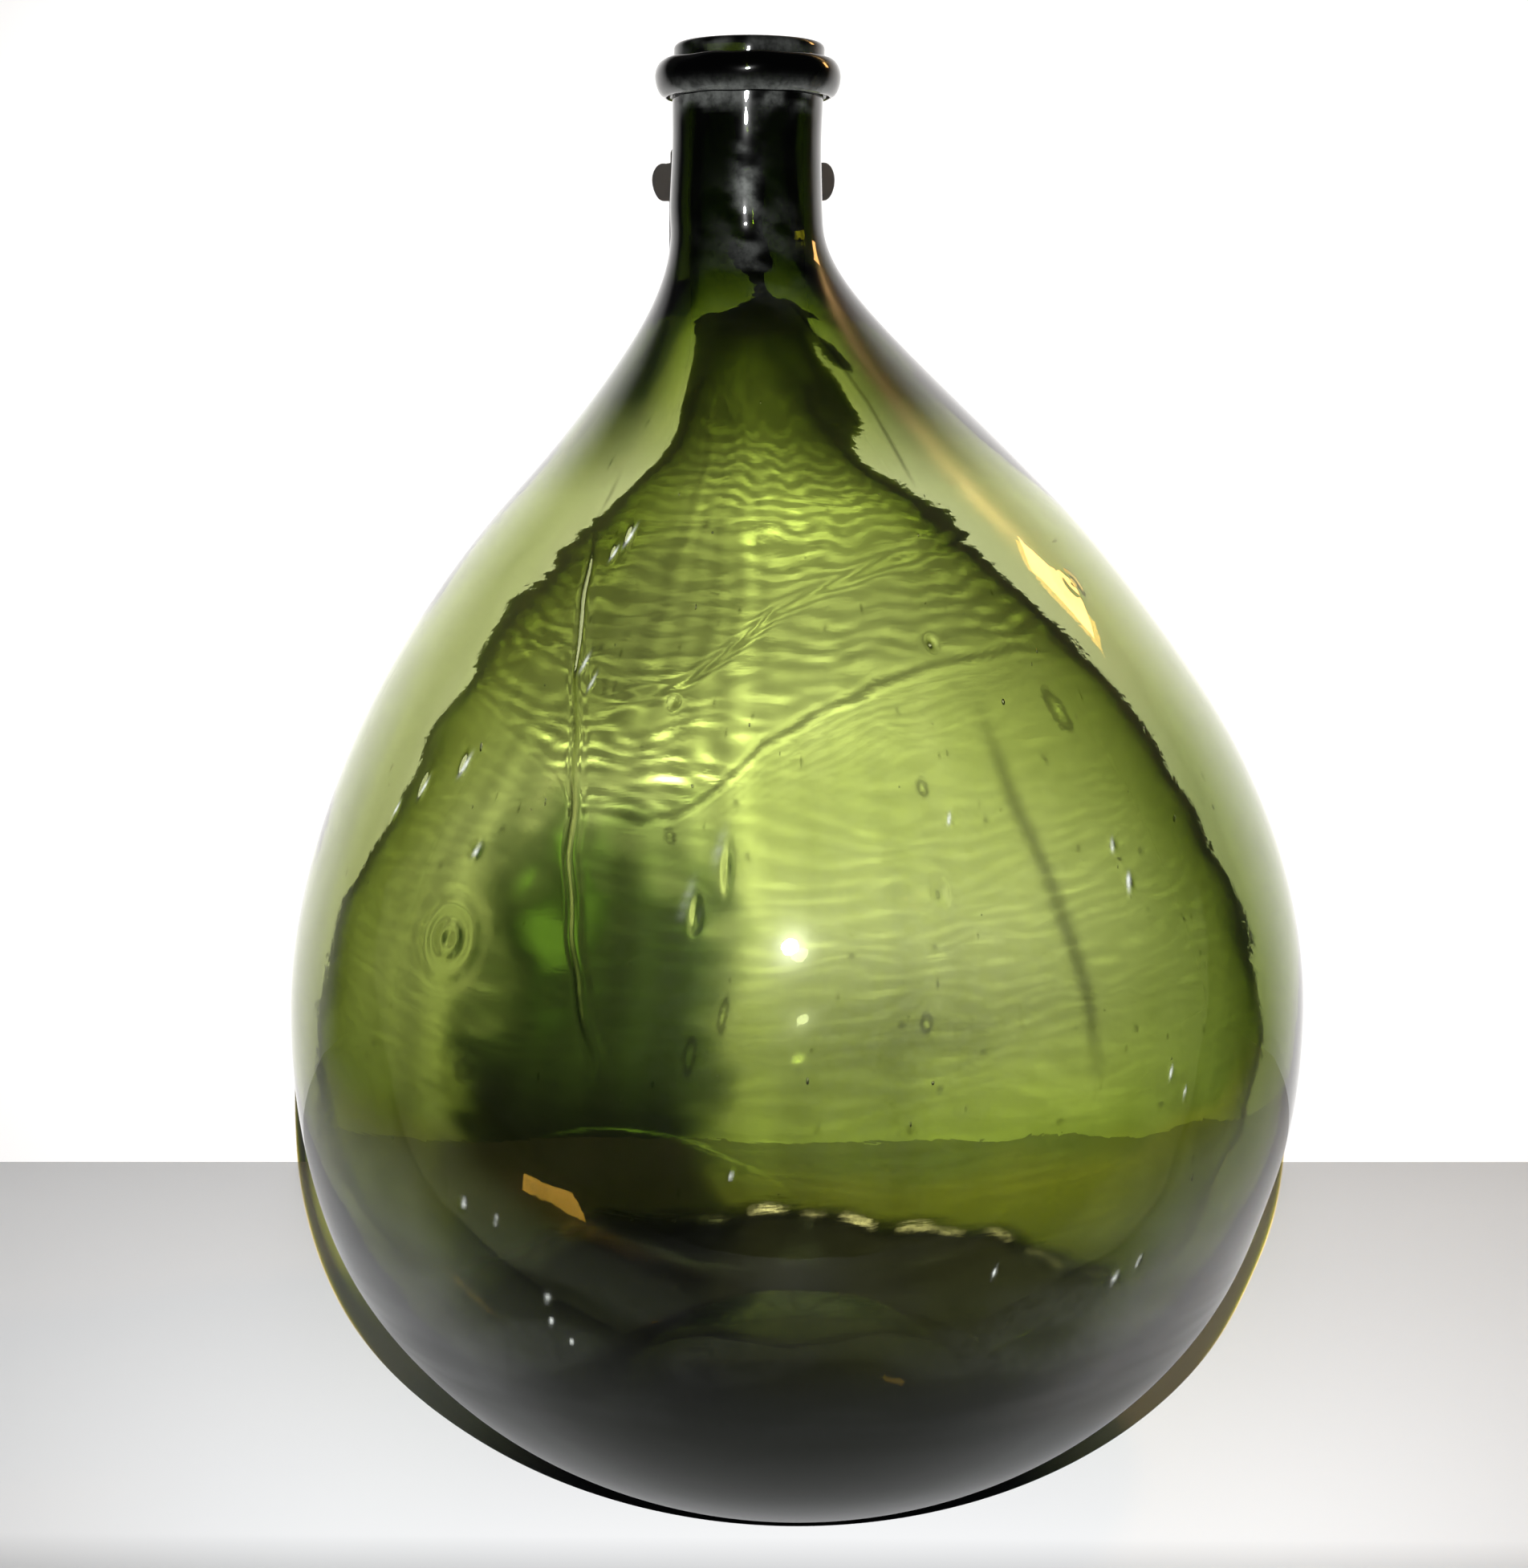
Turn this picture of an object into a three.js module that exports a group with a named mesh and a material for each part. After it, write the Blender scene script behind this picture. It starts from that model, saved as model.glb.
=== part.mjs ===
// Large free-blown green glass demijohn: an onion-shaped bottle with a pushed-up base,
// a neck set off to one side, and a ring of glass laid on round the neck under the rim.
// Millimetres, +Z up. The origin is on the table, under the middle of the belly.
import * as THREE from "three";

// Foot and pushed-up base, with the scar of the iron rod that once held the bottle
const FOOT_RADIUS = 76;
const BEARING_WIDTH = 6;
const HEEL_ROUND = 12;
const HEEL_SLOPE_DEG = 26;
const KICK_HEIGHT = 27;
const KICK_EDGE_SLOPE_DEG = 38;
const SCAR_RADIUS = 15;
const SCAR_RIDGE_WIDTH = 7;
const SCAR_RIDGE_HEIGHT = 1.6;

// Belly and shoulder
const BELLY_RADIUS = 175;
const BELLY_HEIGHT = 163;
const SHOULDER_RADIUS = 94;
const SHOULDER_HEIGHT = 334;
const SHOULDER_SLOPE_DEG = 47;

// Neck and rim
const TOTAL_HEIGHT = 485;
const NECK_LENGTH = 59;
const NECK_ROOT_RADIUS = 25.5;
const WAIST_RADIUS = 24.9;
const WAIST_BELOW_RIM = 33;
const LIP_RADIUS = 25.2;
const RIM_ROUND = 2.2;
const MOUTH_BORE_RADIUS = 16;

// Glass thickness
const WALL_BASE = 9;
const WALL_BELLY = 3;
const WALL_SHOULDER = 3.4;
const WALL_THROAT = 8.4;
const WALL_NECK_ROOT = 9.2;
const WALL_WAIST = 9.4;

// How far up the curve from shoulder to neck the wall is as thick as WALL_THROAT
const THROAT_SHARE = 0.52;

// The neck stands off the belly's axis, towards -X, and leans back by this much a millimetre.
// The axis sways from SWAY_START on, ever faster, and turns into the neck just under its root.
const NECK_OFFSET = 17.6;
const NECK_LEAN = 0.027;
const SWAY_START = 200;
const SWAY_END_BELOW_ROOT = 6;
const SWAY_POWER = 2.7;
const SWAY_BLEND = 4;

// Ring of glass laid on hot round the neck, with its two ends lapped
const RIM_ABOVE_RING = 5;
const RING_HALF_HEIGHT = 6.5;
const RING_PROUD = 5.6;
const RING_FIT_GAP = 0.3;
const RING_LAP_SWELL = 0.9;
const RING_LAP_WIDTH_DEG = 26;
const RING_LAP_AZIMUTH_DEG = 128;

// How far each end of a curve holds its heading, as a share of the distance it spans
const KICK_FULLNESS = [0.42, 0.3];
const LOWER_FULLNESS = [0.39, 0.385];
const UPPER_FULLNESS = [0.325, 0.325];
const THROAT_FULLNESS = [0.55, 0.195];
const SHORT_FULLNESS = [0.35, 0.35];

// Facets round the bottle, and steps along its curves
const SEGMENTS = 56;
const OUTER_STEPS = 12;
const INNER_STEPS = 8;
const THROAT_STEPS = 4;
const KICK_STEPS = 6;
const RING_STEPS = 10;
const ROUND_STEPS = 3;
const SHORT_STEPS = 2;

const UPWARDS = direction(90);
const OUTWARDS = direction(0);

const neckRootHeight = TOTAL_HEIGHT - NECK_LENGTH;
const swayTop = neckRootHeight - SWAY_END_BELOW_ROOT;
const ringTop = TOTAL_HEIGHT - RIM_ABOVE_RING;
const ringCentre = ringTop - RING_HALF_HEIGHT;
const ringBottom = ringCentre - RING_HALF_HEIGHT;

function direction(degreesFromHorizontal) {
  const angle = THREE.MathUtils.degToRad(degreesFromHorizontal);
  return new THREE.Vector2(Math.cos(angle), Math.sin(angle));
}

// A place on the bottle's outline, the way the outline heads there, and the glass behind it
function station(radius, height, heading, wall) {
  return { point: new THREE.Vector2(radius, height), heading, wall };
}

// The same place on the inside of the glass
function insideOf({ point, heading, wall }) {
  const inwards = new THREE.Vector2(-heading.y, heading.x);
  return { point: point.clone().addScaledVector(inwards, wall), heading };
}

// A curve that leaves one station and meets the next along their headings
function sweep(from, to, fullness) {
  const reach = from.point.distanceTo(to.point);
  const leave = from.point.clone().addScaledVector(from.heading, reach * fullness[0]);
  const meet = to.point.clone().addScaledVector(to.heading, -reach * fullness[1]);
  return new THREE.CubicBezierCurve(from.point, leave, meet, to.point);
}

// A station part of the way along a curve
function stationOn(curve, share, wall) {
  return { point: curve.getPoint(share), heading: curve.getTangent(share), wall };
}

// The curve from the first station to the second, run from its far end
function sweepBack(from, to, fullness) {
  const { v0, v1, v2, v3 } = sweep(from, to, fullness);
  return new THREE.CubicBezierCurve(v3, v2, v1, v0);
}

function arc(centreRadius, centreHeight, radius, startDegrees, endDegrees) {
  const start = THREE.MathUtils.degToRad(startDegrees);
  const end = THREE.MathUtils.degToRad(endDegrees);
  return new THREE.EllipseCurve(centreRadius, centreHeight, radius, radius, start, end);
}

function line(fromRadius, fromHeight, toRadius, toHeight) {
  const from = new THREE.Vector2(fromRadius, fromHeight);
  return new THREE.LineCurve(from, new THREE.Vector2(toRadius, toHeight));
}

// Joins curves, each with its number of steps, into one outline that names no point twice
function outline(stretches) {
  const points = [stretches[0][0].getPoint(0)];
  for (const [curve, steps] of stretches) {
    for (let step = 1; step <= steps; step++) points.push(curve.getPoint(step / steps));
  }
  return points;
}

// Where the middle of the bottle is at a height, along X
function axisAt(height) {
  const climbed = Math.max(0, (height - SWAY_START) / (swayTop - SWAY_START));
  const sway = NECK_OFFSET * climbed ** SWAY_POWER;
  const lean = NECK_OFFSET - NECK_LEAN * (height - swayTop);
  const blend = Math.max(0, 1 - Math.abs(sway - lean) / SWAY_BLEND);
  return SWAY_BLEND * blend ** 2 / 4 - Math.min(sway, lean);
}

// Turns an outline of radii and heights into a solid round the bottle's swaying axis
function blownSolid(points, radiusAt = (radius) => radius) {
  const geometry = new THREE.LatheGeometry(points, SEGMENTS).rotateX(Math.PI / 2);
  const position = geometry.attributes.position;
  for (let index = 0; index < position.count; index++) {
    const x = position.getX(index);
    const y = position.getY(index);
    const radius = Math.hypot(x, y);
    const growth = radius > 0 ? radiusAt(radius, Math.atan2(y, x)) / radius : 1;
    position.setXY(index, x * growth + axisAt(position.getZ(index)), y * growth);
  }
  return geometry;
}

const ridgeOuter = SCAR_RADIUS + SCAR_RIDGE_WIDTH / 2;
const bearingInner = FOOT_RADIUS - BEARING_WIDTH;
const crown = station(ridgeOuter, KICK_HEIGHT, OUTWARDS, WALL_BASE);
const kickEdge = station(bearingInner, 0, direction(-KICK_EDGE_SLOPE_DEG), WALL_BASE);
const heelSlope = direction(HEEL_SLOPE_DEG);
const heel = station(
  FOOT_RADIUS + HEEL_ROUND * heelSlope.y,
  HEEL_ROUND * (1 - heelSlope.x),
  heelSlope,
  WALL_BASE,
);
const belly = station(BELLY_RADIUS, BELLY_HEIGHT, UPWARDS, WALL_BELLY);
const shoulderSlope = direction(180 - SHOULDER_SLOPE_DEG);
const shoulder = station(SHOULDER_RADIUS, SHOULDER_HEIGHT, shoulderSlope, WALL_SHOULDER);
const neckRoot = station(NECK_ROOT_RADIUS, neckRootHeight, UPWARDS, WALL_NECK_ROOT);
const throatCurve = sweep(shoulder, neckRoot, THROAT_FULLNESS);
const throat = stationOn(throatCurve, THROAT_SHARE, WALL_THROAT);
const waist = station(WAIST_RADIUS, TOTAL_HEIGHT - WAIST_BELOW_RIM, UPWARDS, WALL_WAIST);
const lip = station(LIP_RADIUS, ringBottom, UPWARDS, LIP_RADIUS - MOUTH_BORE_RADIUS);

// Underside, from the axis out: the rod's scar, the push-up, the bearing ring and the heel
function baseOutline() {
  const ridgeInner = SCAR_RADIUS - SCAR_RIDGE_WIDTH / 2;
  const ridgeTip = KICK_HEIGHT - SCAR_RIDGE_HEIGHT;
  return [
    [line(0, KICK_HEIGHT, ridgeInner, KICK_HEIGHT), 1],
    [line(ridgeInner, KICK_HEIGHT, SCAR_RADIUS, ridgeTip), 1],
    [line(SCAR_RADIUS, ridgeTip, ridgeOuter, KICK_HEIGHT), 1],
    [sweep(crown, kickEdge, KICK_FULLNESS), KICK_STEPS],
    [line(bearingInner, 0, FOOT_RADIUS, 0), 1],
    [arc(FOOT_RADIUS, HEEL_ROUND, HEEL_ROUND, -90, HEEL_SLOPE_DEG - 90), SHORT_STEPS],
  ];
}

// Outside of the glass, from the heel up to the rim
function wallOutline() {
  return [
    [sweep(heel, belly, LOWER_FULLNESS), OUTER_STEPS],
    [sweep(belly, shoulder, UPPER_FULLNESS), OUTER_STEPS],
    [throatCurve, OUTER_STEPS],
    [sweep(neckRoot, waist, SHORT_FULLNESS), SHORT_STEPS],
    [sweep(waist, lip, SHORT_FULLNESS), SHORT_STEPS],
  ];
}

// The rim, rounded by the fire on both sides of a narrow flat, and the mouth's straight bore
function rimOutline() {
  const roundHeight = TOTAL_HEIGHT - RIM_ROUND;
  const flatOuter = LIP_RADIUS - RIM_ROUND;
  const flatInner = MOUTH_BORE_RADIUS + RIM_ROUND;
  return [
    [line(LIP_RADIUS, ringBottom, LIP_RADIUS, roundHeight), 1],
    [arc(flatOuter, roundHeight, RIM_ROUND, 0, 90), ROUND_STEPS],
    [line(flatOuter, TOTAL_HEIGHT, flatInner, TOTAL_HEIGHT), 1],
    [arc(flatInner, roundHeight, RIM_ROUND, 90, 180), ROUND_STEPS],
    [line(MOUTH_BORE_RADIUS, roundHeight, MOUTH_BORE_RADIUS, ringBottom), 1],
  ];
}

// Inside of the glass, from the neck down to the hump that the push-up makes in the floor
function insideOutline() {
  const heelIn = insideOf(heel);
  const bellyIn = insideOf(belly);
  const shoulderIn = insideOf(shoulder);
  const throatIn = insideOf(throat);
  const rootIn = insideOf(neckRoot);
  const waistIn = insideOf(waist);
  const crownIn = insideOf(crown);
  const kickEdgeIn = insideOf(kickEdge);
  const humpHeight = crownIn.point.y;
  return [
    [sweepBack(waistIn, insideOf(lip), SHORT_FULLNESS), SHORT_STEPS],
    [sweepBack(rootIn, waistIn, SHORT_FULLNESS), SHORT_STEPS],
    [sweepBack(throatIn, rootIn, SHORT_FULLNESS), THROAT_STEPS],
    [sweepBack(shoulderIn, throatIn, SHORT_FULLNESS), THROAT_STEPS],
    [sweepBack(bellyIn, shoulderIn, UPPER_FULLNESS), INNER_STEPS],
    [sweepBack(heelIn, bellyIn, LOWER_FULLNESS), INNER_STEPS],
    [sweepBack(kickEdgeIn, heelIn, SHORT_FULLNESS), SHORT_STEPS],
    [sweepBack(crownIn, kickEdgeIn, KICK_FULLNESS), KICK_STEPS],
    [line(ridgeOuter, humpHeight, 0, humpHeight), 1],
  ];
}

function glassBody() {
  return blownSolid(
    outline([...baseOutline(), ...wallOutline(), ...rimOutline(), ...insideOutline()]),
  );
}

// The ring is a half-round thread of glass that stands out a little more where its ends lap
function lipRing() {
  const seat = LIP_RADIUS + RING_FIT_GAP;
  const depth = RING_PROUD - RING_FIT_GAP;
  const quarterTurn = Math.PI / 2;
  const section = new THREE.EllipseCurve(
    seat, ringCentre, depth, RING_HALF_HEIGHT, -quarterTurn, quarterTurn,
  );
  const seatLine = line(seat, ringTop, seat, ringBottom);
  const lapAzimuth = THREE.MathUtils.degToRad(RING_LAP_AZIMUTH_DEG);
  const lapWidth = THREE.MathUtils.degToRad(RING_LAP_WIDTH_DEG);
  const lapped = (radius, azimuth) => {
    const swell = Math.exp(2 * (Math.cos(azimuth - lapAzimuth) - 1) / lapWidth ** 2);
    return radius + (radius - seat) / depth * RING_LAP_SWELL * swell;
  };
  return blownSolid(outline([[section, RING_STEPS], [seatLine, 1]]), lapped);
}

const glass = new THREE.MeshStandardMaterial({
  color: 0x6f7d33,
  roughness: 0.04,
  metalness: 0,
  transparent: true,
  opacity: 0.5,
});

function piece(name, geometry) {
  const mesh = new THREE.Mesh(geometry, glass.clone());
  mesh.name = name;
  return mesh;
}

const demijohn = new THREE.Group();
demijohn.add(piece("glass_body", glassBody()), piece("lip_ring", lipRing()));

export default demijohn;
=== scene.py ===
import math

import bpy
import numpy as np
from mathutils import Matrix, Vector


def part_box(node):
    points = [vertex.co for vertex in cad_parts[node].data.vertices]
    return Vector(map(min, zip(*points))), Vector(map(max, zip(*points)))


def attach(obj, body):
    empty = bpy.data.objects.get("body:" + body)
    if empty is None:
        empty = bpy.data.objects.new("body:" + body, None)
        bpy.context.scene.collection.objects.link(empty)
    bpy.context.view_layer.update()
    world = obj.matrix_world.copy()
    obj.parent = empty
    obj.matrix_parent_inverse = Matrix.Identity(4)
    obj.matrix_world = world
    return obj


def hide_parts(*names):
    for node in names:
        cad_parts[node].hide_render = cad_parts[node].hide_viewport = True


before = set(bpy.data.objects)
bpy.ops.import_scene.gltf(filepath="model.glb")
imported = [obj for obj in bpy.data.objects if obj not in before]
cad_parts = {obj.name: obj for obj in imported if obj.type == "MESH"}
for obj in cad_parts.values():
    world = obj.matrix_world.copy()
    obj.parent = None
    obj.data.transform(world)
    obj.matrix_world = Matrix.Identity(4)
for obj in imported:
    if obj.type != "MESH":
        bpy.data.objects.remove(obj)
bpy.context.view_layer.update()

MM = 0.001

# Outline of the glass, in mm
body_low, body_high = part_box("glass_body")
TOTAL_HEIGHT = body_high.z / MM
BELLY_RADIUS = (body_high.x - body_low.x) / 2 / MM
BELLY_HEIGHT = 163
FOOT_RADIUS = 76
BEARING_WIDTH = 6
HEEL_ROUND = 12
HEEL_SLOPE = 26
KICK_HEIGHT = 27
KICK_EDGE_SLOPE = 38
SCAR_RADIUS = 15
SCAR_RIDGE_WIDTH = 7
SCAR_RIDGE_HEIGHT = 1.6
SHOULDER_RADIUS = 94
SHOULDER_HEIGHT = 334
SHOULDER_SLOPE = 47
NECK_ROOT_RADIUS = 25.5
NECK_ROOT_HEIGHT = TOTAL_HEIGHT - 59
WAIST_RADIUS = 24.9
WAIST_HEIGHT = TOTAL_HEIGHT - 33
LIP_RADIUS = 25.2
RIM_ROUND = 2.2
BORE_RADIUS = 16
WALL_BASE = 9
WALL_BELLY = 3
WALL_SHOULDER = 3.4
WALL_THROAT = 4.0
THROAT_SHARE = 0.52
WALL_NECK_ROOT = 9.2
WALL_WAIST = 9.4
NECK_OFFSET = 17.6
NECK_LEAN = 0.027
SWAY_START = 200
SWAY_TOP = NECK_ROOT_HEIGHT - 6
RING_HALF_HEIGHT = 6.5
RING_CENTRE = TOTAL_HEIGHT - 5 - RING_HALF_HEIGHT
RING_BOTTOM = RING_CENTRE - RING_HALF_HEIGHT
RING_PROUD = 5.6
RING_SUNK = 1.2
# Fewest steps along any curve of the outline
LEAST_STEPS = 3
# Azimuths of the mesh's columns, closer together on the side with the crease and the fold
FINE_FROM, FINE_TO = -166, -14
AZIMUTHS = np.radians(np.concatenate([
    np.linspace(-180, FINE_FROM, 10, endpoint=False),
    np.linspace(FINE_FROM, FINE_TO, 700, endpoint=False),
    np.linspace(FINE_TO, 180, 130, endpoint=False),
]))
COLUMNS = len(AZIMUTHS)


def direction(degrees):
    return np.array([math.cos(math.radians(degrees)), math.sin(math.radians(degrees))])


def station(radius, height, heading, wall):
    """A place on the outline: its point, the way the curve heads there and the wall's thickness."""
    return np.array([radius, height], float), heading, wall


def inside_of(place):
    """The place on the inner face across the wall from a station."""
    point, heading, wall = place
    return point + np.array([-heading[1], heading[0]]) * wall, heading, 0


def sweep(start, end, fullness, pitch):
    """Points of the curve that leaves one station and meets the next along their headings."""
    a, d = start[0], end[0]
    reach = np.linalg.norm(d - a)
    b = a + start[1] * reach * fullness[0]
    c = d - end[1] * reach * fullness[1]
    steps = max(LEAST_STEPS, int(reach / pitch))
    t = np.linspace(0, 1, steps + 1)[:, None]
    return (1 - t) ** 3 * a + 3 * (1 - t) ** 2 * t * b + 3 * (1 - t) * t**2 * c + t**3 * d


def station_on(curve, share, wall):
    """A station part of the way along a curve's points."""
    index = int(round(share * (len(curve) - 1)))
    ahead = curve[index + 1] - curve[index - 1]
    return curve[index], ahead / np.linalg.norm(ahead), wall


def arc(centre_r, centre_z, radius, start, end, steps):
    t = np.radians(np.linspace(start, end, steps + 1))
    return np.stack([centre_r + radius * np.cos(t), centre_z + radius * np.sin(t)], 1)


def line(r0, z0, r1, z1, steps):
    t = np.linspace(0, 1, steps + 1)[:, None]
    return (1 - t) * np.array([r0, z0]) + t * np.array([r1, z1])


def axis_at(z):
    """Where the middle of the bottle is at a height, along X."""
    climbed = np.maximum(0, (z - SWAY_START) / (SWAY_TOP - SWAY_START))
    sway = NECK_OFFSET * climbed**2.7
    lean = NECK_OFFSET - NECK_LEAN * (z - SWAY_TOP)
    blend = np.maximum(0, 1 - np.abs(sway - lean) / 4)
    return blend**2 - np.minimum(sway, lean)


def body_outline():
    """The glass cut through its axis: (radius, height) of each point, and which points are inside.

    It runs from the middle of the base up the outside, over the rim and down the inside.
    """
    up, out = direction(90), direction(0)
    ridge_outer = SCAR_RADIUS + SCAR_RIDGE_WIDTH / 2
    ridge_inner = SCAR_RADIUS - SCAR_RIDGE_WIDTH / 2
    tip = KICK_HEIGHT - SCAR_RIDGE_HEIGHT
    bearing = FOOT_RADIUS - BEARING_WIDTH
    slope = direction(HEEL_SLOPE)
    crown = station(ridge_outer, KICK_HEIGHT, out, WALL_BASE)
    kick = station(bearing, 0, direction(-KICK_EDGE_SLOPE), WALL_BASE)
    heel = station(
        FOOT_RADIUS + HEEL_ROUND * slope[1], HEEL_ROUND * (1 - slope[0]), slope, WALL_BASE
    )
    belly = station(BELLY_RADIUS, BELLY_HEIGHT, up, WALL_BELLY)
    shoulder = station(
        SHOULDER_RADIUS, SHOULDER_HEIGHT, direction(180 - SHOULDER_SLOPE), WALL_SHOULDER
    )
    root = station(NECK_ROOT_RADIUS, NECK_ROOT_HEIGHT, up, WALL_NECK_ROOT)
    throat_curve = sweep(shoulder, root, (0.55, 0.195), 1.25)
    throat = station_on(throat_curve, THROAT_SHARE, WALL_THROAT)
    waist = station(WAIST_RADIUS, WAIST_HEIGHT, up, WALL_WAIST)
    lip = station(LIP_RADIUS, RING_BOTTOM, up, LIP_RADIUS - BORE_RADIUS)
    round_z = TOTAL_HEIGHT - RIM_ROUND
    flat_out, flat_in = LIP_RADIUS - RIM_ROUND, BORE_RADIUS + RIM_ROUND
    short = (0.35, 0.35)
    outer = [
        line(0.5, KICK_HEIGHT, ridge_inner, KICK_HEIGHT, 6),
        line(ridge_inner, KICK_HEIGHT, SCAR_RADIUS, tip, 3),
        line(SCAR_RADIUS, tip, ridge_outer, KICK_HEIGHT, 3),
        sweep(crown, kick, (0.42, 0.3), 1.6),
        line(bearing, 0, FOOT_RADIUS, 0, 4),
        arc(FOOT_RADIUS, HEEL_ROUND, HEEL_ROUND, -90, HEEL_SLOPE - 90, 6),
        sweep(heel, belly, (0.39, 0.385), 1.6),
        sweep(belly, shoulder, (0.325, 0.325), 0.85),
        throat_curve,
        sweep(root, waist, short, 1.6),
        sweep(waist, lip, short, 1.6),
        line(LIP_RADIUS, RING_BOTTOM, LIP_RADIUS, round_z, 8),
        arc(flat_out, round_z, RIM_ROUND, 0, 90, 6),
        line(flat_out, TOTAL_HEIGHT, flat_in, TOTAL_HEIGHT, 5),
        arc(flat_in, round_z, RIM_ROUND, 90, 180, 6),
    ]
    crown_in, kick_in, heel_in, belly_in, shoulder_in, throat_in, root_in, waist_in, lip_in = (
        inside_of(s) for s in (crown, kick, heel, belly, shoulder, throat, root, waist, lip)
    )
    inner = [
        line(BORE_RADIUS, round_z, BORE_RADIUS, RING_BOTTOM, 8),
        sweep(waist_in, lip_in, short, 2)[::-1],
        sweep(root_in, waist_in, short, 2)[::-1],
        sweep(throat_in, root_in, short, 1.6)[::-1],
        sweep(shoulder_in, throat_in, short, 2)[::-1],
        sweep(belly_in, shoulder_in, (0.325, 0.325), 3)[::-1],
        sweep(heel_in, belly_in, (0.39, 0.385), 1.6)[::-1],
        sweep(kick_in, heel_in, short, 2)[::-1],
        sweep(crown_in, kick_in, (0.42, 0.3), 2)[::-1],
        line(ridge_outer, KICK_HEIGHT + WALL_BASE, 0.5, KICK_HEIGHT + WALL_BASE, 8),
    ]
    points = np.concatenate([outer[0][:1]] + [s[1:] for s in outer + inner])
    count = 1 + sum(len(s) - 1 for s in outer)
    return points, np.arange(len(points)) >= count


def normals_of(points):
    """Unit normals that point out of the glass, for an outline that keeps the glass on its left."""
    ahead = np.gradient(points, axis=0)
    ahead /= np.linalg.norm(ahead, axis=1)[:, None]
    return np.stack([ahead[:, 1], -ahead[:, 0]], 1)


# Hand-made unevenness, in mm
def ripples(theta, height, seed, count, most_around, pitches):
    """A random swell of about unit height that closes on itself round the bottle."""
    rng = np.random.default_rng(seed)
    field = np.zeros(np.broadcast(theta, height).shape)
    for _ in range(count):
        turns = rng.integers(0, most_around + 1) * rng.choice([-1, 1])
        pitch = rng.uniform(*pitches)
        phase = rng.uniform(0, 2 * math.pi)
        field += np.cos(turns * theta + 2 * math.pi * height / pitch + phase)
    return field / math.sqrt(count / 2)


def bell(x):
    return np.exp(-(x**2))


def step_up(x, low, high):
    t = np.clip((x - low) / (high - low), 0, 1)
    return t * t * (3 - 2 * t)


def turn_between(theta, degrees):
    """Signed angle in radians from an azimuth to theta."""
    return (theta - np.radians(degrees) + math.pi) % (2 * math.pi) - math.pi


def near_azimuth(theta, degrees, reach):
    """1 at an azimuth, falling to 0 at about twice the reach, in radians, either side of it."""
    return bell(turn_between(theta, degrees) / reach)


def away_from(theta, radius, height, azimuth, z, wide=1, tall=1):
    """Distance over the glass from a place, in its own half widths and half heights."""
    return np.hypot(turn_between(theta, azimuth) * radius / wide, (height - z) / tall)


# The fold that sweeps round the bottle: azimuth in degrees, height in mm
FOLD = np.array([
    (-180, 307), (-160, 309), (-145, 308), (-135, 305), (-123, 293), (-118, 285), (-109, 283),
    (-104, 287), (-99, 295), (-92, 307), (-84, 314), (-72, 322), (-58, 326),
    (-40, 328), (-12, 322), (20, 308), (60, 295), (95, 301), (130, 312), (160, 309),
])
# The upright crease on its left: azimuth, height
CREASE = np.array([
    (-110, 180), (-112, 200), (-113, 220), (-115, 240),
    (-117, 260), (-119, 282), (-122, 305), (-127, 328),
])
# It starts between these heights
CREASE_FOOT = (172, 190)
# A dark hairline that runs down from the neck, and a line of bent light low on the belly
HAIRLINE = np.array([(-61, 340), (-60, 368), (-62, 383), (-68, 395), (-72, 402)])
STRIATIONS = np.array([(-110, 219), (-99, 225), (-93, 229), (-80, 229), (-66, 225), (-45, 204)])
# Blisters and dents: azimuth, height, half width, half height, how proud
BLISTERS = [
    (-75, 229, 1.5, 2.6, 0.5),
    (-38, 311, 3.2, 4.2, 0.4),
    (-70, 297, 1.3, 1.5, 0.4),
    (-105, 281, 1.2, 1.2, 0.4),
    (-97, 236, 1.0, 4.5, 0.3),
    (-100, 224, 1.3, 4.0, 0.3),
]
# Rings left by a tool: azimuth, height, pitch, reach, how proud
RING_MARKS = [(-128, 210, 7.0, 10, 0.10), (-38, 311, 3.2, 5, 0.05)]
# Where the real outline leaves a true turning: azimuth, height, degrees, reach in height, mm
WOBBLES = [
    (180, 72, 60, 34, 1.9),
    (0, 95, 50, 22, -1.2),
    (0, 296, 60, 30, -1.2),
    (180, 355, 60, 26, -1.0),
    (-90, 432, 50, 16, 0.7),
    (-90, 470, 60, 7, 0.3),
]
# Small glossy nicks in the glass: azimuth, height, half width, half height
NICKS = [
    (-118, 327, 1.0, 2.6), (-120, 322, 0.8, 1.8), (-119, 291, 1.0, 2.2), (-117, 286, 0.8, 2.0),
    (-133, 259, 1.4, 3.0), (-139, 251, 1.0, 2.6), (-143, 243, 0.9, 2.4), (-127, 236, 1.6, 1.8),
    (-53, 238, 1.2, 1.8), (-52, 227, 1.4, 2.4), (-50, 170, 0.9, 1.8), (-48, 163, 0.7, 1.6),
    (-73, 249, 0.9, 1.6), (-125, 131, 1.6, 1.4), (-121, 128, 1.2, 1.0), (-96, 150, 0.8, 0.9),
    (-116, 105, 1.6, 1.2), (-116, 97, 1.2, 1.0), (-114, 91, 0.9, 0.9), (-55, 107, 1.6, 1.6),
    (-52, 111, 1.0, 1.6), (-70, 117, 0.8, 1.4),
]
# How deep a nick is, in half widths
NICK_DEPTH = 0.15
# How many dark seeds show in the shadow, and specks of dirt on the glass
DARK_SEEDS = 46
SPECKS = 60
# From one wrinkle to the next, in mm
WRINKLE_PITCH = 5.0
# How much thinner the glass is at the left and right than in front and behind, and all round above
SIDE_THINNING = 0.6
UPPER_THINNING = 0.8


def fold_height(theta):
    return np.interp(np.degrees(theta), FOLD[:, 0], FOLD[:, 1], period=360)


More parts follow.
